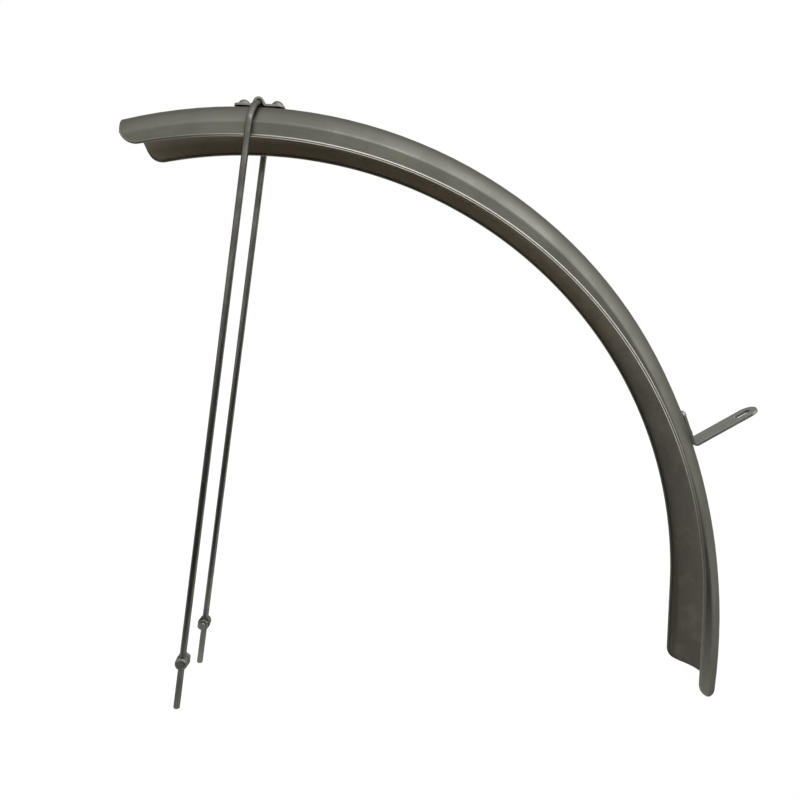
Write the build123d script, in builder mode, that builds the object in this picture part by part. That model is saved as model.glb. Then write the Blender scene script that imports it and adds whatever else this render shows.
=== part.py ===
from build123d import *
import os
from math import asin, cos, degrees, radians, sin, sqrt, tan

# Front mudguard for a 26 inch bicycle wheel. Lengths in millimetres, angles in degrees.
# +X points ahead, +Y along the wheel's axle to the rider's left, +Z up. Angles turn up from +X.
# The origin is in the slot of the fork-crown tab, on the face that meets the fork.

# Blade, a roll-formed steel sheet whose crown follows two arcs, flatter towards the front end
blade_width = 60.0  # over the two side walls
blade_sheet = 0.8
crown_rise = 16.0  # top of the side walls up to the crown
crown_flat = 6.0  # flat strip along the middle of the crown
shoulder_round = 4.0  # outside, between side wall and crown
top_radius = 335.1  # outside of the crown over the wheel
front_radius = 438.0  # outside of the crown towards the front end
join_angle = 27.7  # the front arc runs up to here
front_end = -4.5  # on the front arc
rear_end = 103.3  # on the top arc
depth_top = 24.5  # crown to edge over the wheel centre
wheel_drop = 17.4  # wheel centre below the centre of the top arc
wheel_back = 3.6  # wheel centre behind it
rolled_edge = 2.0  # thickness of the roll along each edge
roll_proud = 0.4  # the roll stands out from the side wall
corner_round = 11.0  # corners of the side walls at both ends

# Stay, one bent steel wire over the crown and down both sides
wire = 4.5
stay_angle = 87.8  # on the top arc
stay_lean = 6.5  # legs lean from the radius, towards the rear end
stay_standoff = 1.2  # legs clear the side walls
stay_length = 422.0  # crown to the cut ends, along a leg
wire_tail = 34.3  # eyebolt to the cut end
wire_chamfer = 0.5

# Stay bridge, a pressed strap that holds the stay down on the crown
bridge_length = 33.5
bridge_width = 20.0
bridge_sheet = 1.5
bridge_fold = 0.5  # inside radius at the foot of the hump
bridge_slope = 70.0  # sides of the hump
bridge_corner = 4.0
bridge_pitch = 22.6  # rivet to rivet

# Fork-crown bracket, a strip folded to an L with a slotted tab
bracket_angle = 21.5  # middle of the foot, on the front arc
foot_length = 27.5  # free end of the foot to the outside of the fold
bracket_width = 17.5
bracket_sheet = 2.0
bracket_fold = 1.5  # inside radius
foot_corner = 3.0
tab_lean = 8.0  # the tab leans over the foot
tab_length = 51.2  # fold to tip
tab_corner = 8.2
slot_length = 13.0
slot_width = 6.0
slot_tip = 4.5  # metal left past the slot
bracket_margin = 4.2  # rear rivet to the foot's free end
bracket_pitch = 14.3  # rivet to rivet

# Round-head rivets: domed head on a short straight land, shank and upset tail
bridge_head = 8.6
bridge_head_rise = 4.6
bridge_head_land = 1.2
bridge_shank = 4.8
bridge_tail = 7.0
bracket_head = 7.0
bracket_head_rise = 3.2
bracket_head_land = 0.4
bracket_shank = 4.0
bracket_tail = 6.0
tail_rise = 1.3
tail_chamfer = 0.5

# Eyebolts that clamp the stay, with washer and nut
eye = 9.0  # outside of the round eye
eye_cap = 2.4  # metal outside the wire
eye_round = 2.2  # edge of the domed cap
wire_bite = 0.4  # the wire stands this far out of the eye's seat
bolt = 5.0
bolt_past_nut = 1.5
bolt_chamfer = 0.5
washer = 9.6
washer_sheet = 1.0
nut_sides = 6
nut_flats = 8.0
nut_height = 4.0
nut_chamfer_angle = 30.0

# Clearances
seat_gap = 0.05  # between a curved face and what rests on it
bore_gap = 0.05  # round a shank or a wire in its hole
cut_margin = 2.0  # cutting shapes run past the metal


def around(angle):
    """Direction at an angle up from +X."""
    return Vector(cos(radians(angle)), 0, sin(radians(angle)))


# The slot's middle on the mount face, along the crown and out from it, seen from the side
fold_line = bracket_fold + bracket_sheet / 2
foot_level = seat_gap + bracket_sheet / 2
fold_start = fold_line + bracket_sheet / 2 - foot_length / 2
tab_run = tab_length - slot_tip - slot_length / 2
lean_sin = sin(radians(tab_lean))
lean_cos = cos(radians(tab_lean))
slot_along = fold_start - (fold_line + bracket_sheet / 2) * lean_cos + tab_run * lean_sin
slot_out = foot_level + fold_line + (fold_line + bracket_sheet / 2) * lean_sin + tab_run * lean_cos

# Centres of the two crown arcs and of the wheel, which is also the centre of the edges
axle = Vector(0, 1, 0)
ahead = Vector(1, 0, 0)
slot_offset = around(bracket_angle) * (front_radius + slot_out) + around(bracket_angle + 90) * slot_along
front_centre = -slot_offset
top_centre = front_centre + around(join_angle) * (front_radius - top_radius)
wheel_centre = top_centre - Vector(wheel_back, 0, wheel_drop)
edge_radius = top_radius + wheel_drop - depth_top


class Crown:
    """One arc of the crown, with planes placed on its outside."""

    def __init__(self, centre, radius):
        self.centre = centre
        self.radius = radius

    def point(self, angle, along=0, out=0):
        """A place on the arc, moved along its tangent and out from it."""
        return self.centre + around(angle) * (self.radius + out) + around(angle + 90) * along

    def section(self, angle):
        """Plane across the blade: x along the axle, y outwards."""
        return Plane(self.point(angle), x_dir=axle, z_dir=-around(angle + 90))

    def side(self, angle, out=0):
        """Plane of the wheel: x towards the rear end, y outwards."""
        return Plane(self.point(angle, 0, out), x_dir=around(angle + 90), z_dir=axle)

    def seat(self, angle, along, out):
        """Plane that lies on the crown, moved along it and out from it."""
        return Plane(self.point(angle, along, out), x_dir=around(angle + 90), z_dir=around(angle))

    def fall(self, along):
        """How far the crown falls away under a flat seat."""
        return self.radius - sqrt(self.radius**2 - along**2)


front_crown = Crown(front_centre, front_radius)
top_crown = Crown(top_centre, top_radius)


def crown_arc(reach, rise, shoulder):
    """Radius and angle of the arc that runs from the flat strip out to a shoulder arc."""
    radius = (reach**2 + rise**2 - shoulder**2) / (2 * (rise - shoulder))
    return radius, degrees(asin(reach / (radius - shoulder)))


half_width = blade_width / 2
crown_reach = half_width - shoulder_round - crown_flat / 2
crown_round, crown_turn = crown_arc(crown_reach, crown_rise, shoulder_round)


def arch(inset, foot):
    """The blade's outline in section as a solid face, moved inwards by inset, the crown at zero."""
    side = half_width - inset
    turn = 90 - crown_turn
    with BuildSketch() as outline:
        with BuildLine():
            left_wall = Line((side, foot), (side, -crown_rise))
            left_shoulder = JernArc(left_wall @ 1, left_wall % 1, shoulder_round - inset, turn)
            left_crown = JernArc(left_shoulder @ 1, left_shoulder % 1, crown_round - inset, crown_turn)
            strip = Line(left_crown @ 1, (-crown_flat / 2, -inset))
            right_crown = JernArc(strip @ 1, strip % 1, crown_round - inset, crown_turn)
            right_shoulder = JernArc(right_crown @ 1, right_crown % 1, shoulder_round - inset, turn)
            right_wall = Line(right_shoulder @ 1, (-side, foot))
            Line(right_wall @ 1, left_wall @ 0)
        make_face()
    return outline.sketch


def tail_fall(tail):
    """How far the inside of the crown falls away at the rim of a rivet's tail."""
    inside = crown_round - blade_sheet
    past_flat = max(tail / 2 - crown_flat / 2, 0)
    return inside - sqrt(inside**2 - past_flat**2)


# Rivet places along the crown from the middle of the strap or foot, front one first
bridge_rivets = {"front": -bridge_pitch / 2, "rear": bridge_pitch / 2}
bracket_rear = foot_length / 2 - bracket_margin
bracket_rivets = {"front": bracket_rear - bracket_pitch, "rear": bracket_rear}
rivet_holes = []
for along in bridge_rivets.values():
    rivet_holes.append((top_crown.seat(stay_angle, along, 0), bridge_shank))
for along in bracket_rivets.values():
    rivet_holes.append((front_crown.seat(bracket_angle, along, 0), bracket_shank))

os.makedirs("parts", exist_ok=True)

# Blade: the section turned about both centres, cut to the edge line, with rolled edges and cut ends
roll = rolled_edge / 2
wall_foot = -depth_top - cut_margin
roll_radius = edge_radius + roll
front_waste = degrees(cut_margin / front_radius)
rear_waste = degrees((cut_margin + wheel_drop) / top_radius)
straight_drop = wheel_centre.Z - front_crown.point(front_end).Z + depth_top
top_offset = top_centre - wheel_centre
rear_reach = around(rear_end).dot(top_offset)
rear_edge = sqrt(rear_reach**2 - top_offset.length**2 + edge_radius**2) - rear_reach
front_edge = (edge_radius + wheel_centre.X - front_centre.X) / cos(radians(front_end))
end_cuts = (
    (front_crown.side(front_end, front_edge - front_radius), 1),
    (top_crown.side(rear_end, rear_edge - top_radius), -1),
)
front_sweep = join_angle - front_end + front_waste
top_sweep = rear_end - join_angle + rear_waste
with BuildSketch(front_crown.section(join_angle)) as blade_section:
    add(arch(0, wall_foot))
    add(arch(blade_sheet, wall_foot - cut_margin), mode=Mode.SUBTRACT)
with BuildSketch(Plane(wheel_centre, x_dir=axle, z_dir=(0, 0, -1))) as roll_section:
    for side in (-1, 1):
        with Locations((side * (half_width + roll_proud - roll), roll_radius)):
            Circle(roll)
with BuildPart() as blade:
    revolve(blade_section.sketch, axis=Axis(front_centre, axle), revolution_arc=front_sweep)
    revolve(blade_section.sketch, axis=Axis(top_centre, -axle), revolution_arc=top_sweep)
    for seat, shank in rivet_holes:
        with Locations(seat):
            Cylinder(shank / 2 + bore_gap, 2 * crown_rise, mode=Mode.SUBTRACT)
    with BuildSketch(Plane(wheel_centre, x_dir=ahead, z_dir=-axle)):
        with BuildLine():
            curved_edge = CenterArc((0, 0), roll_radius, 0, rear_end + rear_waste)
            straight_edge = Line(curved_edge @ 0, (roll_radius, -straight_drop))
            Polyline(straight_edge @ 1, (0, -straight_drop), (0, 0), curved_edge @ 1)
        make_face()
    extrude(amount=blade_width, both=True, mode=Mode.SUBTRACT)
    extrude(roll_section.sketch, amount=straight_drop)
    revolve(roll_section.sketch, axis=Axis(wheel_centre, -axle), revolution_arc=rear_end + rear_waste)
    for end_plane, inwards in end_cuts:
        with BuildSketch(end_plane):
            with Locations((inwards * corner_round / 2, corner_round / 2 - cut_margin)):
                Rectangle(corner_round, corner_round)
            with Locations((inwards * corner_round, corner_round)):
                Circle(corner_round, mode=Mode.SUBTRACT)
            with Locations((-inwards * depth_top, 0)):
                Rectangle(2 * depth_top, 4 * depth_top)
        extrude(amount=blade_width, both=True, mode=Mode.SUBTRACT)
blade.part.label = "blade"
export_step(blade.part, "parts/blade.step")

# Stay: the wire follows the blade's outside, standing off the side walls
wire_level = wire / 2 + seat_gap
leg_reach = half_width + stay_standoff + wire / 2
stay_bend = shoulder_round + wire / 2
stay_rise = crown_rise + wire_level
stay_reach = leg_reach - stay_bend - crown_flat / 2
stay_round, stay_turn = crown_arc(stay_reach, stay_rise, stay_bend)
leg_up = around(stay_angle - stay_lean)
stay_top = top_crown.point(stay_angle, 0, wire_level)
with BuildPart() as stay:
    with BuildLine(Plane(stay_top, x_dir=axle, z_dir=axle.cross(leg_up))):
        right_leg = Line((-leg_reach, -stay_length), (-leg_reach, -stay_rise))
        right_bend = JernArc(right_leg @ 1, right_leg % 1, stay_bend, stay_turn - 90)
        right_over = JernArc(right_bend @ 1, right_bend % 1, stay_round, -stay_turn)
        top_run = Line(right_over @ 1, (crown_flat / 2, 0))
        left_over = JernArc(top_run @ 1, top_run % 1, stay_round, -stay_turn)
        left_bend = JernArc(left_over @ 1, left_over % 1, stay_bend, stay_turn - 90)
        Line(left_bend @ 1, (leg_reach, -stay_length))
    with BuildSketch(Plane(right_leg @ 0, x_dir=axle, z_dir=leg_up)):
        Circle(wire / 2)
    sweep()
    chamfer(stay.faces().filter_by(GeomType.PLANE).edges(), length=wire_chamfer)
stay.part.label = "stay"
export_step(stay.part, "parts/stay.step")

# Stay bridge: two flat ears with a hump over the wire
ear_level = seat_gap + bridge_sheet / 2
ear_fold = bridge_fold + bridge_sheet / 2
hump_round = wire / 2 + bore_gap + bridge_sheet / 2
slope_sin = sin(radians(bridge_slope))
slope_cos = cos(radians(bridge_slope))
slope_run = (wire_level - ear_level - ear_fold + (hump_round + ear_fold) * slope_cos) / slope_sin
hump_foot = (hump_round + ear_fold) * slope_sin + slope_run * slope_cos
with BuildPart() as stay_bridge:
    with BuildSketch(top_crown.side(stay_angle)):
        with BuildLine():
            front_ear = Line((-bridge_length / 2, ear_level), (-hump_foot, ear_level))
            front_fold = JernArc(front_ear @ 1, front_ear % 1, ear_fold, bridge_slope)
            front_slope = Line(front_fold @ 1, front_fold @ 1 + (front_fold % 1) * slope_run)
            hump = JernArc(front_slope @ 1, front_slope % 1, hump_round, -2 * bridge_slope)
            rear_slope = Line(hump @ 1, hump @ 1 + (hump % 1) * slope_run)
            rear_fold = JernArc(rear_slope @ 1, rear_slope % 1, ear_fold, bridge_slope)
            Line(rear_fold @ 1, (bridge_length / 2, ear_level))
        trace(line_width=bridge_sheet)
    extrude(amount=bridge_width / 2, both=True)
    ear_corners = stay_bridge.edges().filter_by(Axis(top_centre, around(stay_angle)))
    fillet(ear_corners, radius=bridge_corner)
    for along in bridge_rivets.values():
        with Locations(top_crown.seat(stay_angle, along, ear_level)):
            Cylinder(bridge_shank / 2 + bore_gap, 2 * bridge_sheet, mode=Mode.SUBTRACT)
stay_bridge.part.label = "stay_bridge"
export_step(stay_bridge.part, "parts/stay_bridge.step")

# Fork-crown bracket: flat foot, fold and slotted tab
tab_direction = bracket_angle + tab_lean
tab_face = Plane((0, 0, 0), x_dir=around(tab_direction), z_dir=around(tab_direction - 90))
with BuildPart() as crown_bracket:
    with BuildSketch(front_crown.side(bracket_angle)):
        with BuildLine():
            foot = Line((foot_length / 2, foot_level), (fold_start, foot_level))
            fold = JernArc(foot @ 1, foot % 1, fold_line, -90 - tab_lean)
            Line(fold @ 1, fold @ 1 + (fold % 1) * tab_length)
        trace(line_width=bracket_sheet)
    extrude(amount=bracket_width / 2, both=True)
    tab_corners = crown_bracket.edges().filter_by(Axis((0, 0, 0), tab_face.z_dir))
    fillet(tab_corners, radius=tab_corner)
    foot_corners = crown_bracket.edges().filter_by(Axis(front_centre, around(bracket_angle)))
    fillet(foot_corners, radius=foot_corner)
    with BuildSketch(tab_face):
        SlotOverall(slot_length, slot_width)
    extrude(amount=2 * bracket_sheet, both=True, mode=Mode.SUBTRACT)
    for along in bracket_rivets.values():
        with Locations(front_crown.seat(bracket_angle, along, foot_level)):
            Cylinder(bracket_shank / 2 + bore_gap, 2 * bracket_sheet, mode=Mode.SUBTRACT)
crown_bracket.part.label = "crown_bracket"
export_step(crown_bracket.part, "parts/crown_bracket.step")


def rivet(seat, head, head_rise, head_land, shank, grip, tail):
    """A round-head rivet on a seat plane, its tail upset under the sheet."""
    tail_end = -grip - tail_rise
    with BuildPart() as body:
        with BuildSketch(Plane(seat.origin, x_dir=seat.x_dir, z_dir=-seat.y_dir)):
            with BuildLine():
                dome = TangentArc((0, head_rise), (head / 2, head_land), tangent=(1, 0))
                land = Line(dome @ 1, (head / 2, 0))
                Polyline(
                    land @ 1,
                    (shank / 2, 0),
                    (shank / 2, -grip),
                    (tail / 2, -grip),
                    (tail / 2, tail_end + tail_chamfer),
                    (tail / 2 - tail_chamfer, tail_end),
                    (0, tail_end),
                    dome @ 0,
                )
            make_face()
        revolve(axis=Axis(seat.origin, seat.z_dir))
    return body


# Bridge rivets, from the top of the ears through to the inside of the crown
for place, along in bridge_rivets.items():
    crown_fall = top_crown.fall(abs(along) + bridge_tail / 2) + tail_fall(bridge_tail)
    grip = bridge_sheet + blade_sheet + crown_fall + 2 * seat_gap
    bridge_rivet = rivet(
        top_crown.seat(stay_angle, along, ear_level + bridge_sheet / 2),
        bridge_head,
        bridge_head_rise,
        bridge_head_land,
        bridge_shank,
        grip,
        bridge_tail,
    )
    bridge_rivet.part.label = f"bridge_rivet_{place}"
    export_step(bridge_rivet.part, f"parts/bridge_rivet_{place}.step")

# Bracket rivets, from the top of the foot through to the inside of the crown
for place, along in bracket_rivets.items():
    crown_fall = front_crown.fall(abs(along) + bracket_tail / 2) + tail_fall(bracket_tail)
    grip = bracket_sheet + blade_sheet + crown_fall + 2 * seat_gap
    bracket_rivet = rivet(
        front_crown.seat(bracket_angle, along, foot_level + bracket_sheet / 2),
        bracket_head,
        bracket_head_rise,
        bracket_head_land,
        bracket_shank,
        grip,
        bracket_tail,
    )
    bracket_rivet.part.label = f"bracket_rivet_{place}"
    export_step(bracket_rivet.part, f"parts/bracket_rivet_{place}.step")

# Eyebolts, washers and nuts, one set on each leg, with the shanks turned inwards
eye_seat = wire / 2 - wire_bite
washer_seat = wire / 2 + seat_gap
nut_seat = washer_seat + washer_sheet
bolt_end = nut_seat + nut_height + bolt_past_nut
for side_name, side in (("right", -1), ("left", 1)):
    eye_place = stay_top - leg_up * (stay_length - wire_tail) + axle * side * leg_reach
    inwards = Plane(eye_place, x_dir=leg_up, z_dir=axle * -side)

    with BuildPart() as eyebolt:
        with BuildSketch(inwards.offset(eye_seat)):
            Circle(eye / 2)
        extrude(amount=-(eye_seat + wire / 2 + eye_cap))
        fillet(eyebolt.edges().sort_by(Axis(eye_place, inwards.z_dir))[0], radius=eye_round)
        with BuildSketch(inwards.offset(eye_seat)):
            Circle(bolt / 2)
        extrude(amount=bolt_end - eye_seat)
        chamfer(eyebolt.edges().sort_by(Axis(eye_place, inwards.z_dir))[-1], length=bolt_chamfer)
        with BuildSketch(Plane(eye_place, x_dir=axle, z_dir=leg_up)):
            Circle(wire / 2 + bore_gap)
        extrude(amount=eye, both=True, mode=Mode.SUBTRACT)
    eyebolt.part.label = f"{side_name}_eyebolt"
    export_step(eyebolt.part, f"parts/{side_name}_eyebolt.step")

    with BuildPart() as flat_washer:
        with BuildSketch(inwards.offset(washer_seat)):
            Circle(washer / 2)
            Circle(bolt / 2 + bore_gap, mode=Mode.SUBTRACT)
        extrude(amount=washer_sheet)
    flat_washer.part.label = f"{side_name}_washer"
    export_step(flat_washer.part, f"parts/{side_name}_washer.step")

    nut_corner = nut_flats / 2 / cos(radians(180 / nut_sides))
    bevel = (nut_corner - nut_flats / 2) * tan(radians(nut_chamfer_angle))
    with BuildPart() as nut:
        with BuildSketch(inwards.offset(nut_seat)):
            RegularPolygon(nut_flats / 2, nut_sides, major_radius=False)
            Circle(bolt / 2 + bore_gap, mode=Mode.SUBTRACT)
        extrude(amount=nut_height)
        with BuildSketch(Plane(eye_place, x_dir=leg_up, z_dir=-inwards.y_dir)):
            with BuildLine():
                Polyline(
                    (0, nut_seat),
                    (nut_flats / 2, nut_seat),
                    (nut_corner, nut_seat + bevel),
                    (nut_corner, nut_seat + nut_height - bevel),
                    (nut_flats / 2, nut_seat + nut_height),
                    (0, nut_seat + nut_height),
                    close=True,
                )
            make_face()
        revolve(axis=Axis(eye_place, inwards.z_dir), mode=Mode.INTERSECT)
    nut.part.label = f"{side_name}_nut"
    export_step(nut.part, f"parts/{side_name}_nut.step")
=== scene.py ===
import math

import bpy
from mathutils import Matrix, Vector


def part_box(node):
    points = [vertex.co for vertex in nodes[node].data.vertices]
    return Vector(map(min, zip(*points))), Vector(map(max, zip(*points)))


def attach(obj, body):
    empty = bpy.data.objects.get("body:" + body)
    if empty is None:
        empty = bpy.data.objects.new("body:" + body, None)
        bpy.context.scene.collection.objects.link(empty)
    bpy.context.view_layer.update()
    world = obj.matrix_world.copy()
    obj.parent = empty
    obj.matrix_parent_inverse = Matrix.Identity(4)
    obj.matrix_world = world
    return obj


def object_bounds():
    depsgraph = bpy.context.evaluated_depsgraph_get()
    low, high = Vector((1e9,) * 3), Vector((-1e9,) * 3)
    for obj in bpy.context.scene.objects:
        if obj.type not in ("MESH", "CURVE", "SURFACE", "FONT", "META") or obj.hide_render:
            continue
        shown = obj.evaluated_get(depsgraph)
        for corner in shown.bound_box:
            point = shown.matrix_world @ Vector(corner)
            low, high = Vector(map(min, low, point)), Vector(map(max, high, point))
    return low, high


# Looks of a front bicycle mudguard: satin steel blade, drawn wire stay, pressed fittings and fasteners.
# Lengths in metres, in the frame of the solids.

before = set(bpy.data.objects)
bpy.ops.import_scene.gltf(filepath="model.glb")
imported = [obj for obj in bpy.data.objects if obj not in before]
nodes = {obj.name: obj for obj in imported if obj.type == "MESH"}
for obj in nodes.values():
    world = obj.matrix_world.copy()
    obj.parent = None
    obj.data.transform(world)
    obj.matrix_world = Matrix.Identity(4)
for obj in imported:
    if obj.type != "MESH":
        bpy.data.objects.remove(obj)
cad_low, cad_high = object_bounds()
mm = 0.001

# Sizes of the blade, as in the solids
top_radius = 335.1 * mm
front_radius = 438 * mm
join_angle = math.radians(27.7)
front_end = math.radians(-4.5)
rear_end = math.radians(103.3)
edge_radius = 328 * mm
edge_drop = 17.4 * mm
edge_back = 3.6 * mm
crown_rise = 16 * mm
crown_flat = 6 * mm
shoulder_round = 4 * mm
corner_round = 11 * mm
sheet = 0.8 * mm
rolled_edge = 2 * mm
roll_proud = 0.4 * mm

# Places that follow from them and from the blade's box
blade_low, blade_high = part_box("blade")
arc_step = front_radius - top_radius
front_centre_x = blade_high.x - front_radius
top_centre = Vector((
    front_centre_x + math.cos(join_angle) * arc_step,
    0,
    blade_high.z - top_radius,
))
wheel_centre = top_centre - Vector((edge_back, 0, edge_drop))
front_centre = top_centre - Vector((math.cos(join_angle), 0, math.sin(join_angle))) * arc_step
join_normal = Vector((-math.sin(join_angle), 0, math.cos(join_angle)))
half_width = blade_high.y - roll_proud
wall_middle = half_width - sheet / 2
roll_middle = blade_high.y - rolled_edge / 2
crown_reach = half_width - shoulder_round - crown_flat / 2
crown_round = (crown_reach**2 + crown_rise**2 - shoulder_round**2) / (2 * (crown_rise - shoulder_round))
crown_turn = math.asin(crown_reach / (crown_round - shoulder_round))

# Camera of the photograph
image_px = 800
focal_px = 720
sensor_width = 36
camera_place = wheel_centre + Vector((96.1, -516.1, 215.6)) * mm
camera_pan = 0.03032
camera_tilt = 0.12299

# Finishes, colours in linear light
blade_light = (0.26, 0.257, 0.23, 1)
blade_dark = (0.19, 0.186, 0.162, 1)
blade_inside = (0.41, 0.358, 0.29, 1)
# Darker colour: painted shade towards the front of the inside and where the rolls turn in, with random grime
# patches on the inside
grime_and_shade = (0.15, 0.139, 0.118, 1)
# Colour of the highlight painted along the rolled edges' underside
edge_highlight_colour = (0.95, 0.93, 0.87, 1)
wire_light = (0.27, 0.266, 0.248, 1)
wire_dark = (0.14, 0.137, 0.128, 1)
fitting_light = (0.42, 0.415, 0.392, 1)
fitting_dark = (0.31, 0.306, 0.285, 1)
fastener_light = (0.38, 0.38, 0.36, 1)
fastener_dark = (0.13, 0.128, 0.12, 1)
worn_edge = (0.5, 0.495, 0.47, 1)
rim_tint = (0.42, 0.42, 0.4, 1)

# Where a highlight is painted along the edge, and where the inside is painted darker as shade, as angles up
# from the wheel's front
highlight_in_front = (math.radians(8), math.radians(34))
highlight_behind = (math.radians(98), math.radians(78))
inside_shade_from = (math.radians(55), math.radians(15))

# Room, floor and lamps
room_left = (0.48, 0.48, 0.468, 1)
room_right = (0.74, 0.74, 0.72, 1)
room_front = (0.66, 0.65, 0.58, 1)
room_above = (0.78, 0.79, 0.79, 1)
room_light = (1.04, 1.04, 1.01, 1)
light_from = (0.6, -0.34, 0.72)
floor_near = (0.04, 0.039, 0.036, 1)
floor_far = (0.85, 0.845, 0.83, 1)
floor_size = 12.0
floor_white = 1.12
floor_white_share = 0.86


class Nodes:
    """A node tree under construction. A value may be a number, a vector or another node's output."""

    def __init__(self, tree):
        self.tree = tree

    def add(self, kind, settings=None, **inputs):
        node = self.tree.nodes.new(kind)
        for name, value in (settings or {}).items():
            setattr(node, name, value)
        for name, value in inputs.items():
            self.put(node.inputs[name.replace("_", " ")], value)
        return node

    def put(self, socket, value):
        if isinstance(value, bpy.types.NodeSocket):
            self.tree.links.new(value, socket)
        else:
            socket.default_value = value

    def math(self, operation, first, second=0.0, clamp=False):
        node = self.add("ShaderNodeMath", {"operation": operation, "use_clamp": clamp})
        self.put(node.inputs[0], first)
        self.put(node.inputs[1], second)
        return node.outputs[0]

    def vector_node(self, operation, first, second):
        node = self.add("ShaderNodeVectorMath", {"operation": operation})
        self.put(node.inputs[0], first)
        self.put(node.inputs[1], second)
        return node

    def vector(self, operation, first, second=(0, 0, 0)):
        return self.vector_node(operation, first, second).outputs["Vector"]

    def measure(self, operation, first, second=(0, 0, 0)):
        return self.vector_node(operation, first, second).outputs["Value"]

    def scaled(self, vector, factor):
        node = self.add("ShaderNodeVectorMath", {"operation": "SCALE"})
        self.put(node.inputs[0], vector)
        self.put(node.inputs["Scale"], factor)
        return node.outputs["Vector"]

    def split(self, vector):
        return self.add("ShaderNodeSeparateXYZ", Vector=vector).outputs

    def join(self, **parts):
        return self.add("ShaderNodeCombineXYZ", **parts).outputs["Vector"]

    def blend(self, share, first, second):
        node = self.add("ShaderNodeMix", {"data_type": "RGBA"})
        self.put(node.inputs["Factor"], share)
        self.put(node.inputs[6], first)
        self.put(node.inputs[7], second)
        return node.outputs[2]

    def choose(self, share, first, second):
        node = self.add("ShaderNodeMix", {"data_type": "VECTOR"})
        self.put(node.inputs["Factor"], share)
        self.put(node.inputs[4], first)
        self.put(node.inputs[5], second)
        return node.outputs[1]

    def span(self, value, low, high, to_low=0.0, to_high=1.0):
        node = self.add("ShaderNodeMapRange", {"interpolation_type": "SMOOTHSTEP"})
        ends = {"Value": value, "From Min": low, "From Max": high, "To Min": to_low, "To Max": to_high}
        for name, part in ends.items():
            self.put(node.inputs[name], part)
        return node.outputs["Result"]

    def noise(self, vector, scale, detail, rough=0.55):
        node = self.add("ShaderNodeTexNoise", Vector=vector, Scale=scale, Detail=detail, Roughness=rough)
        return node.outputs["Fac"]

    def place(self):
        return self.add("ShaderNodeTexCoord").outputs["Object"]

    def facing(self):
        return self.add("ShaderNodeNewGeometry").outputs["Normal"]


def shader_group(name, inputs, outputs):
    """An empty shader node group with named sockets, and its two end nodes."""
    group = bpy.data.node_groups.new(name, "ShaderNodeTree")
    for label, kind, value in inputs:
        socket = group.interface.new_socket(label, in_out="INPUT", socket_type=kind)
        if value is not None:
            socket.default_value = value
    for label, kind in outputs:
        group.interface.new_socket(label, in_out="OUTPUT", socket_type=kind)
    return group, Nodes(group), group.nodes.new("NodeGroupInput"), group.nodes.new("NodeGroupOutput")


def make_streaks():
    """Fine lines left by rolling or drawing, along the vector's first axis, and sparse longer scratches."""
    group, n, start, end = shader_group(
        "rolling_streaks",
        [("Vector", "NodeSocketVector", None), ("Scale", "NodeSocketFloat", 1.0)],
        [("Streaks", "NodeSocketFloat"), ("Scratches", "NodeSocketFloat")],
    )
    fine = n.noise(start.outputs["Vector"], start.outputs["Scale"], 5)
    shifted = n.vector("MULTIPLY", start.outputs["Vector"], (0.35, 1.7, 1.7))
    lines = n.noise(shifted, start.outputs["Scale"], 2)
    n.put(end.inputs["Streaks"], fine)
    n.put(end.inputs["Scratches"], n.span(lines, 0.66, 0.74))
    return group


def make_tarnish():
    """Soft uneven dulling of bare metal and a fine grain over it."""
    group, n, start, end = shader_group(
        "dull_tarnish",
        [("Patch Scale", "NodeSocketFloat", 30.0), ("Grain Scale", "NodeSocketFloat", 1500.0)],
        [("Patches", "NodeSocketFloat"), ("Grain", "NodeSocketFloat")],
    )
    place = n.place()
    broad = n.noise(place, start.outputs["Patch Scale"], 4, 0.6)
    n.put(end.inputs["Patches"], n.span(broad, 0.32, 0.68))
    n.put(end.inputs["Grain"], n.noise(place, start.outputs["Grain Scale"], 2))
    return group


def make_edge_wear():
    """Where an outer edge has been rubbed bright."""
    group, n, start, end = shader_group(
        "rubbed_edges",
        [("Radius", "NodeSocketFloat", 0.0006), ("Grain", "NodeSocketFloat", 0.5)],
        [("Wear", "NodeSocketFloat"), ("Normal", "NodeSocketVector")],
    )
    rounded = n.add("ShaderNodeBevel", {"samples": 6}, Radius=start.outputs["Radius"]).outputs["Normal"]
    turn = n.measure("DOT_PRODUCT", rounded, n.facing())
    uneven = n.math("MULTIPLY", start.outputs["Grain"], 0.12)
    n.put(end.inputs["Wear"], n.span(turn, 0.98, n.math("SUBTRACT", 0.86, uneven)))
    n.put(end.inputs["Normal"], rounded)
    return group


streaks_group = make_streaks()
tarnish_group = make_tarnish()
wear_group = make_edge_wear()


def new_material(name):
    """A metal with its Principled shader and the node helper. The tint keeps its rims from going white."""
    material = bpy.data.materials.new(name)
    material.use_nodes = True
    shader = material.node_tree.nodes["Principled BSDF"]
    shader.inputs["Metallic"].default_value = 1.0
    shader.inputs["Specular Tint"].default_value = rim_tint
    return material, Nodes(material.node_tree), shader


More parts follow.
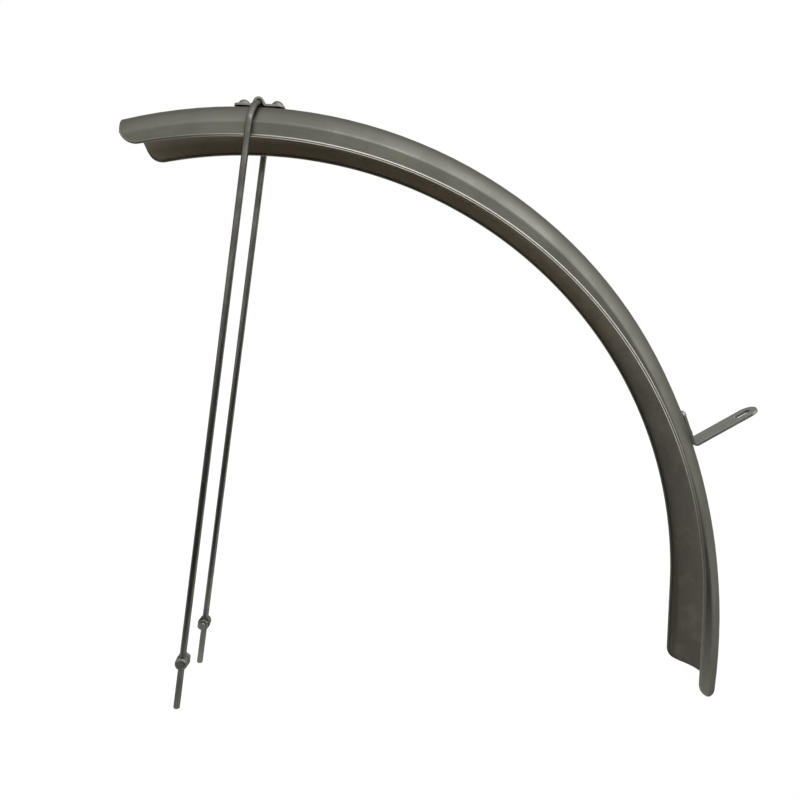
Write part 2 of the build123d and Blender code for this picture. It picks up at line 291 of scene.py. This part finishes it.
def finish_metal(n, shader, vector, light, dark, rough, patch_scale, wear_radius, relief):
    """Streaks, tarnish and rubbed edges on bare metal. Returns its colour and roughness, not yet linked."""
    streaks = n.add("ShaderNodeGroup", {"node_tree": streaks_group}, Vector=vector)
    tarnish = n.add("ShaderNodeGroup", {"node_tree": tarnish_group}, Patch_Scale=patch_scale)
    wear = n.add(
        "ShaderNodeGroup",
        {"node_tree": wear_group},
        Radius=wear_radius,
        Grain=tarnish.outputs["Grain"],
    )
    mottled = n.math(
        "ADD",
        n.math("MULTIPLY", tarnish.outputs["Patches"], 0.55),
        n.math("MULTIPLY", streaks.outputs["Streaks"], 0.45),
    )
    plain = n.blend(mottled, dark, light)
    scratched = n.blend(n.math("MULTIPLY", streaks.outputs["Scratches"], 0.25), plain, light)
    colour = n.blend(n.math("MULTIPLY", wear.outputs["Wear"], 0.6), scratched, worn_edge)
    uneven = n.span(mottled, 0.2, 0.8, rough + 0.07, rough - 0.05)
    roughness = n.math("SUBTRACT", uneven, n.math("MULTIPLY", wear.outputs["Wear"], 0.08))
    height = n.math(
        "ADD",
        n.math("MULTIPLY", streaks.outputs["Streaks"], 0.7),
        n.math("MULTIPLY", tarnish.outputs["Grain"], 0.5),
    )
    bump = n.add(
        "ShaderNodeBump",
        Strength=relief,
        Distance=0.06 * mm,
        Height=height,
        Normal=wear.outputs["Normal"],
    )
    n.put(shader.inputs["Normal"], bump.outputs["Normal"])
    return colour, roughness


def edge_line(n, width):
    """How far a face is turned to the outside, and where a highlight is painted along the rolled edge's
    underside, broken up at random.
    """
    place = n.place()
    side = n.math("SIGN", n.split(place)["Y"])
    outside = n.math("MULTIPLY", n.split(n.facing())["Y"], side)
    offset = n.split(n.vector("SUBTRACT", place, tuple(wheel_centre)))
    reach = n.measure("LENGTH", n.join(X=offset["X"], Z=offset["Z"]))
    underside = n.span(reach, edge_radius + width, edge_radius + width / 2)
    angle = n.math("ARCTAN2", offset["Z"], offset["X"])
    stretch = n.math("MULTIPLY", n.span(angle, *highlight_in_front), n.span(angle, *highlight_behind))
    # Random breaks in the painted highlight
    highlight_breaks = n.span(n.noise(place, 250.0, 3), 0.75, 0.35, 0.78, 1.0)
    edge_highlight = n.math("MULTIPLY", n.math("MULTIPLY", underside, stretch), highlight_breaks)
    return outside, n.math("MULTIPLY", n.span(outside, -0.7, -0.1), edge_highlight)


def blade_steel():
    """Rolled sheet steel: lines along the arc, duller and browner inside with painted shade towards the
    front, and a painted highlight along the rolled edges.
    """
    material, n, shader = new_material("satin_blade_steel")
    place = n.place()
    offset = n.split(n.vector("SUBTRACT", place, tuple(wheel_centre)))
    angle = n.math("ARCTAN2", offset["Z"], offset["X"])
    outwards = n.join(X=offset["X"], Z=offset["Z"])
    radius = n.measure("LENGTH", outwards)
    rolled = n.join(
        X=n.math("MULTIPLY", angle, 12.0),
        Y=n.math("MULTIPLY", offset["Y"], 900.0),
        Z=n.math("MULTIPLY", radius, 900.0),
    )
    colour, roughness = finish_metal(
        n, shader, rolled, blade_light, blade_dark,
        rough=0.37, patch_scale=26.0, wear_radius=0.5 * mm, relief=0.35,
    )

    # A face is inside where it turns towards a line that runs under the crown
    core = edge_radius - 8 * mm
    lifted = n.scaled(n.vector("NORMALIZE", outwards), n.math("SUBTRACT", radius, core))
    away = n.vector("ADD", lifted, n.join(Y=n.math("MULTIPLY", offset["Y"], 0.8)))
    inside = n.span(n.measure("DOT_PRODUCT", away, n.facing()), 2 * mm, -2 * mm)

    # The inside is painted darker towards the front as shade, with random patches of grime over it
    patchy = n.math("SUBTRACT", n.noise(place, 70.0, 6, 0.65), 0.5)
    shade_and_patches = n.math("ADD", n.span(angle, *inside_shade_from), patchy, clamp=True)
    inside_with_shade = n.blend(shade_and_patches, blade_inside, grime_and_shade)
    colour = n.blend(n.math("MULTIPLY", inside, 0.85), colour, inside_with_shade)
    roughness = n.math("ADD", roughness, n.math("MULTIPLY", inside, 0.3))
    # Painted highlight along the rolled edge's underside: brighter colour, more metallic and smoother there
    edge_highlight = edge_line(n, 1.5 * mm)[1]
    metallic = n.math("MAXIMUM", n.span(inside, 0.0, 1.0, 1.0, 0.15), edge_highlight)
    n.put(shader.inputs["Metallic"], metallic)
    n.put(shader.inputs["Base Color"], n.blend(edge_highlight, colour, edge_highlight_colour))
    n.put(shader.inputs["Roughness"], n.math("SUBTRACT", roughness, n.math("MULTIPLY", edge_highlight, 0.15)))
    return material


def roll_steel():
    """The rolled edges: a painted highlight underneath, painted shade where they turn in."""
    material, n, shader = new_material("roll_steel_with_painted_light")
    outside, edge_highlight = edge_line(n, 2.0 * mm)
    # Painted shade on the faces where the roll turns in
    plain = n.blend(n.span(outside, -0.3, 0.1), grime_and_shade, blade_light)
    n.put(shader.inputs["Base Color"], n.blend(edge_highlight, plain, edge_highlight_colour))
    n.put(shader.inputs["Metallic"], n.span(outside, -0.3, 0.1, 0.3, 1.0))
    n.put(shader.inputs["Roughness"], n.span(edge_highlight, 0.0, 1.0, 0.5, 0.28))
    return material


def plain_metal(name, stretch, light, dark, rough, patch_scale, wear_radius, relief, turn=0.0):
    """Bare metal with straight working lines along its X axis, turned about the axle."""
    material, n, shader = new_material(name)
    turned = n.add("ShaderNodeMapping", {"vector_type": "POINT"}, Vector=n.place(), Rotation=(0, turn, 0))
    stretched = n.vector("MULTIPLY", turned.outputs["Vector"], stretch)
    colour, roughness = finish_metal(
        n, shader, stretched, light, dark, rough, patch_scale, wear_radius, relief
    )
    n.put(shader.inputs["Base Color"], colour)
    n.put(shader.inputs["Roughness"], roughness)
    return material


def section_normals():
    """Sets the blade's shading normals from its true section, because its facets are long and thin."""
    tree = bpy.data.node_groups.new("section_normals", "GeometryNodeTree")
    tree.interface.new_socket("Geometry", in_out="INPUT", socket_type="NodeSocketGeometry")
    tree.interface.new_socket("Geometry", in_out="OUTPUT", socket_type="NodeSocketGeometry")
    n = Nodes(tree)

    def section_vector(across, side, out, direction):
        """A unit vector from its shares across the blade and out from the wheel."""
        sideways = n.join(Y=n.math("MULTIPLY", across, side))
        return n.vector("NORMALIZE", n.vector("ADD", sideways, n.scaled(direction, out)))

    place = n.add("GeometryNodeInputPosition").outputs[0]
    facet = n.add(
        "GeometryNodeFieldOnDomain",
        {"data_type": "FLOAT_VECTOR", "domain": "FACE"},
        Value=n.add("GeometryNodeInputNormal").outputs["Normal"],
    ).outputs["Value"]
    side = n.math("SIGN", n.split(place)["Y"])
    across = n.math("ABSOLUTE", n.split(place)["Y"])

    # How deep a point lies under the crown, on the arc that it belongs to
    from_top = n.vector("SUBTRACT", place, tuple(top_centre))
    past_join = n.measure("DOT_PRODUCT", from_top, tuple(join_normal))
    on_top = n.math("GREATER_THAN", past_join, 0.0)
    centre = n.choose(on_top, tuple(front_centre), tuple(top_centre))
    crown_radius = n.span(on_top, 0.0, 1.0, front_radius, top_radius)
    flat = n.vector("MULTIPLY", n.vector("SUBTRACT", place, centre), (1, 0, 1))
    direction = n.vector("NORMALIZE", flat)
    depth = n.math("SUBTRACT", crown_radius, n.measure("LENGTH", flat))

    # The normal of the round crown, and of the shoulder and wall beside it
    past_flat = n.math("MAXIMUM", n.math("SUBTRACT", across, crown_flat / 2), 0.0)
    crown = section_vector(past_flat, side, n.math("SUBTRACT", crown_round, depth), direction)
    past_shoulder = n.math("SUBTRACT", across, half_width - shoulder_round)
    above_wall = n.math("SUBTRACT", crown_rise, depth)
    shoulder = section_vector(past_shoulder, side, n.math("MAXIMUM", above_wall, 0.0), direction)
    turned = n.math("MULTIPLY", above_wall, math.tan(crown_turn))
    smooth = n.choose(n.math("GREATER_THAN", past_shoulder, turned), crown, shoulder)

    # Cut ends, holes and rolls, whose facets turn away from it, keep their own
    agrees = n.measure("DOT_PRODUCT", smooth, facet)
    close = n.math("GREATER_THAN", n.math("ABSOLUTE", agrees), 0.8)
    normal = n.choose(close, facet, n.scaled(smooth, n.math("SIGN", agrees)))

    start = tree.nodes.new("NodeGroupInput")
    end = tree.nodes.new("NodeGroupOutput")
    dressed = n.add("GeometryNodeSetMeshNormal", {"mode": "FREE", "domain": "CORNER"})
    n.put(dressed.inputs["Mesh"], start.outputs["Geometry"])
    n.put(dressed.inputs["Custom Normal"], normal)
    n.put(end.inputs["Geometry"], dressed.outputs["Mesh"])
    return tree


# Metal of each piece of the solids
stay_tilt = math.radians(81.3)
tab_tilt = math.radians(29.5)
fastener_finish = plain_metal(
    "turned_fastener_steel", (500, 500, 500), fastener_light, fastener_dark,
    rough=0.17, patch_scale=200.0, wear_radius=0.3 * mm, relief=0.2,
)
finishes = {
    "blade": blade_steel(),
    "stay": plain_metal(
        "drawn_stay_wire", (25, 1500, 1500), wire_light, wire_dark,
        rough=0.28, patch_scale=60.0, wear_radius=0.2 * mm, relief=0.3, turn=stay_tilt,
    ),
    "stay_bridge": plain_metal(
        "pressed_bridge_steel", (120, 1200, 1200), fitting_light, fitting_dark,
        rough=0.36, patch_scale=90.0, wear_radius=0.4 * mm, relief=0.3,
    ),
    "crown_bracket": plain_metal(
        "pressed_bracket_steel", (120, 1200, 1200), fitting_light, fitting_dark,
        rough=0.38, patch_scale=90.0, wear_radius=0.45 * mm, relief=0.3, turn=tab_tilt,
    ),
}
for name, node in nodes.items():
    node.data.materials.clear()
    node.data.materials.append(finishes.get(name, fastener_finish))

even_shading = nodes["blade"].modifiers.new("even_shading", "NODES")
even_shading.node_group = section_normals()

# Smooth rolls along both edges of the blade and round its corners, where they thin out
roll_radius = rolled_edge / 2 + 0.07 * mm
roll_tip = 0.45 * mm
roll_sides = 20
arc_steps = 160
corner_steps = 14


def around(angle):
    """Direction at an angle up from +X, in the plane of the wheel."""
    return Vector((math.cos(angle), 0, math.sin(angle)))


def sheet_reach(point, centre, radius):
    """How far from the middle plane the middle of the sheet lies at a point beside the crown."""
    depth = radius - (point - centre).length
    below = crown_rise - depth
    if below <= 0:
        return wall_middle
    if below < shoulder_round * math.cos(crown_turn):
        return half_width - shoulder_round + math.sqrt((shoulder_round - sheet / 2)**2 - below**2)
    return crown_flat / 2 + math.sqrt((crown_round - sheet / 2)**2 - (crown_round - depth)**2)


def corner_points(middle, first, last):
    """Points round a corner between two angles, with the roll's thickness and how far it has thinned."""
    points = []
    for step in range(1, corner_steps + 1):
        share = step / corner_steps
        thin = roll_radius + (roll_tip - roll_radius) * share
        out = around(first + (last - first) * share)
        points.append((middle + out * (corner_round - thin), thin, share))
    return points


def edge_points():
    """The roll's middle from the front end to the rear end, with its thickness and how far it has thinned."""
    edge_x = wheel_centre.x + edge_radius
    front_z = front_centre.z + math.tan(front_end) * (edge_x - front_centre.x)
    front_rise = corner_round * (1 - math.sin(-front_end)) / math.cos(front_end)
    front_middle = Vector((edge_x + corner_round, 0, front_z + front_rise))
    points = corner_points(front_middle, math.pi, 1.5 * math.pi + front_end)[::-1]
    points.append((Vector((edge_x + roll_radius, 0, front_middle.z)), roll_radius, 0))

    beside = (top_centre - wheel_centre).dot(around(rear_end - math.pi / 2))
    rear_turn = math.acos((corner_round + beside) / (edge_radius + corner_round)) - math.pi / 2
    rear_angle = rear_end + rear_turn
    middle_radius = edge_radius + roll_radius
    for step in range(arc_steps + 1):
        out = around(rear_angle * step / arc_steps)
        points.append((wheel_centre + out * middle_radius, roll_radius, 0))
    rear_middle = wheel_centre + around(rear_angle) * (edge_radius + corner_round)
    points += corner_points(rear_middle, rear_angle + math.pi, rear_end + math.pi / 2)
    return points


def edge_curve():
    """Both edges as curves, with the roll's thickness as their radius."""
    curve = bpy.data.curves.new("edge_path", "CURVE")
    curve.dimensions = "3D"
    points = edge_points()
    for side in (-1, 1):
        spline = curve.splines.new("POLY")
        spline.points.add(len(points) - 1)
        for target, (point, thickness, thinned) in zip(spline.points, points):
            if (point - top_centre).dot(join_normal) > 0:
                reach = sheet_reach(point, top_centre, top_radius)
            else:
                reach = sheet_reach(point, front_centre, front_radius)
            across = reach + (roll_middle - wall_middle) * (1 - thinned)
            target.co = (point.x, side * across, point.z, 1)
            target.radius = thickness
    return bpy.data.objects.new("edge_path", curve)


def tube_tree():
    """A round tube along each curve, as thick as the curve's radius."""
    tree = bpy.data.node_groups.new("round_tube", "GeometryNodeTree")
    tree.interface.new_socket("Geometry", in_out="INPUT", socket_type="NodeSocketGeometry")
    tree.interface.new_socket("Sides", in_out="INPUT", socket_type="NodeSocketInt")
    tree.interface.new_socket("Finish", in_out="INPUT", socket_type="NodeSocketMaterial")
    tree.interface.new_socket("Geometry", in_out="OUTPUT", socket_type="NodeSocketGeometry")
    n = Nodes(tree)
    start = tree.nodes.new("NodeGroupInput")
    end = tree.nodes.new("NodeGroupOutput")
    section = n.add("GeometryNodeCurvePrimitiveCircle", Resolution=start.outputs["Sides"], Radius=1.0)
    tube = n.add(
        "GeometryNodeCurveToMesh",
        Curve=start.outputs["Geometry"],
        Profile_Curve=section.outputs["Curve"],
        Scale=n.add("GeometryNodeInputRadius").outputs["Radius"],
        Fill_Caps=True,
    )
    smooth = n.add("GeometryNodeSetShadeSmooth", Geometry=tube.outputs["Mesh"])
    real = n.add("GeometryNodeRealizeInstances", Geometry=smooth.outputs["Geometry"])
    dressed = n.add("GeometryNodeSetMaterial", Geometry=real.outputs["Geometry"])
    n.put(dressed.inputs["Material"], start.outputs["Finish"])
    n.put(end.inputs["Geometry"], dressed.outputs["Geometry"])
    return tree


def grown(name, start, tree, **sizes):
    """The plain mesh piece that a tree makes of a start object, which goes."""
    bpy.context.scene.collection.objects.link(start)
    modifier = start.modifiers.new("grow", "NODES")
    modifier.node_group = tree
    for socket in tree.interface.items_tree:
        if socket.in_out == "INPUT" and socket.name in sizes:
            modifier[socket.identifier] = sizes[socket.name]
    bpy.context.view_layer.update()
    evaluated = start.evaluated_get(bpy.context.evaluated_depsgraph_get())
    piece = bpy.data.objects.new(name, bpy.data.meshes.new_from_object(evaluated))
    bpy.data.objects.remove(start)
    bpy.context.scene.collection.objects.link(piece)
    return piece


rolls = grown("edge_rolls", edge_curve(), tube_tree(), Sides=roll_sides, Finish=roll_steel())
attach(rolls, "root")


def floor_material():
    """Floor that reads white to the camera and keeps a faint shadow. Its near part is dark to the metal."""
    material = bpy.data.materials.new("pale_floor")
    material.use_nodes = True
    n = Nodes(material.node_tree)
    matte = material.node_tree.nodes["Principled BSDF"]
    depth = n.split(n.place())["Y"]
    n.put(matte.inputs["Base Color"], n.blend(n.span(depth, -0.24, 0.06), floor_near, floor_far))
    matte.inputs["Roughness"].default_value = 0.9
    matte.inputs["Specular IOR Level"].default_value = 0.0
    white = n.add("ShaderNodeEmission", Color=(1, 1, 1, 1), Strength=floor_white)
    seen = n.add("ShaderNodeLightPath").outputs["Is Camera Ray"]
    mixed = n.add("ShaderNodeMixShader", Fac=n.math("MULTIPLY", seen, floor_white_share))
    n.put(mixed.inputs[1], matte.outputs[0])
    n.put(mixed.inputs[2], white.outputs[0])
    n.put(material.node_tree.nodes["Material Output"].inputs["Surface"], mixed.outputs[0])
    return material


def studio_world():
    """White to the camera. To the metal a soft room, dimmer on the left and brightest towards the light."""
    world = bpy.data.worlds.new("studio")
    bpy.context.scene.world = world
    world.use_nodes = True
    n = Nodes(world.node_tree)
    direction = n.add("ShaderNodeTexCoord").outputs["Generated"]
    towards = n.split(direction)
    level = n.blend(n.span(towards["X"], -0.4, 0.9), room_left, room_right)
    level = n.blend(n.span(towards["Y"], 0.1, -0.9), level, room_front)
    level = n.blend(n.span(towards["Z"], 0.25, 0.95), level, room_above)
    near_light = n.measure("DOT_PRODUCT", direction, tuple(Vector(light_from).normalized()))
    room = world.node_tree.nodes["Background"]
    n.put(room.inputs["Color"], n.blend(n.span(near_light, 0.4, 0.97), level, room_light))
    white = n.add("ShaderNodeBackground", Color=(1, 1, 1, 1), Strength=1.0)
    seen = n.add("ShaderNodeLightPath").outputs["Is Camera Ray"]
    mixed = n.add("ShaderNodeMixShader", Fac=seen)
    n.put(mixed.inputs[1], room.outputs[0])
    n.put(mixed.inputs[2], white.outputs[0])
    n.put(world.node_tree.nodes["World Output"].inputs["Surface"], mixed.outputs[0])


def soft_lamp(name, offset, size, power):
    """A square lamp aimed at the middle of the mudguard."""
    middle = (cad_low + cad_high) / 2
    data = bpy.data.lights.new(name, "AREA")
    data.shape = "SQUARE"
    data.size = size
    data.energy = power
    lamp = bpy.data.objects.new(name, data)
    bpy.context.scene.collection.objects.link(lamp)
    lamp.location = middle + Vector(offset)
    lamp.rotation_euler = (-Vector(offset)).to_track_quat("-Z", "Y").to_euler()


# Studio: floor, room, a large weak lamp above on the right and a small one above in front
bpy.ops.mesh.primitive_plane_add(size=floor_size, location=(blade_low.x, 0, cad_low.z - 0.2 * mm))
floor = bpy.context.object
floor.name = "floor"
floor.data.materials.append(floor_material())
studio_world()
soft_lamp("key_lamp", (0.85, -0.45, 1.1), size=1.2, power=3)
soft_lamp("glint_lamp", (0.15, -0.9, 1.2), size=0.3, power=0.8)

# Camera
camera_data = bpy.data.cameras.new("camera")
camera_data.sensor_width = sensor_width
camera_data.lens = sensor_width * focal_px / image_px
camera = bpy.data.objects.new("camera", camera_data)
bpy.context.scene.collection.objects.link(camera)
camera.location = camera_place
camera.rotation_euler = (math.pi / 2 - camera_tilt, 0, -camera_pan)
bpy.context.scene.camera = camera
bpy.context.scene.view_settings.view_transform = "Standard"
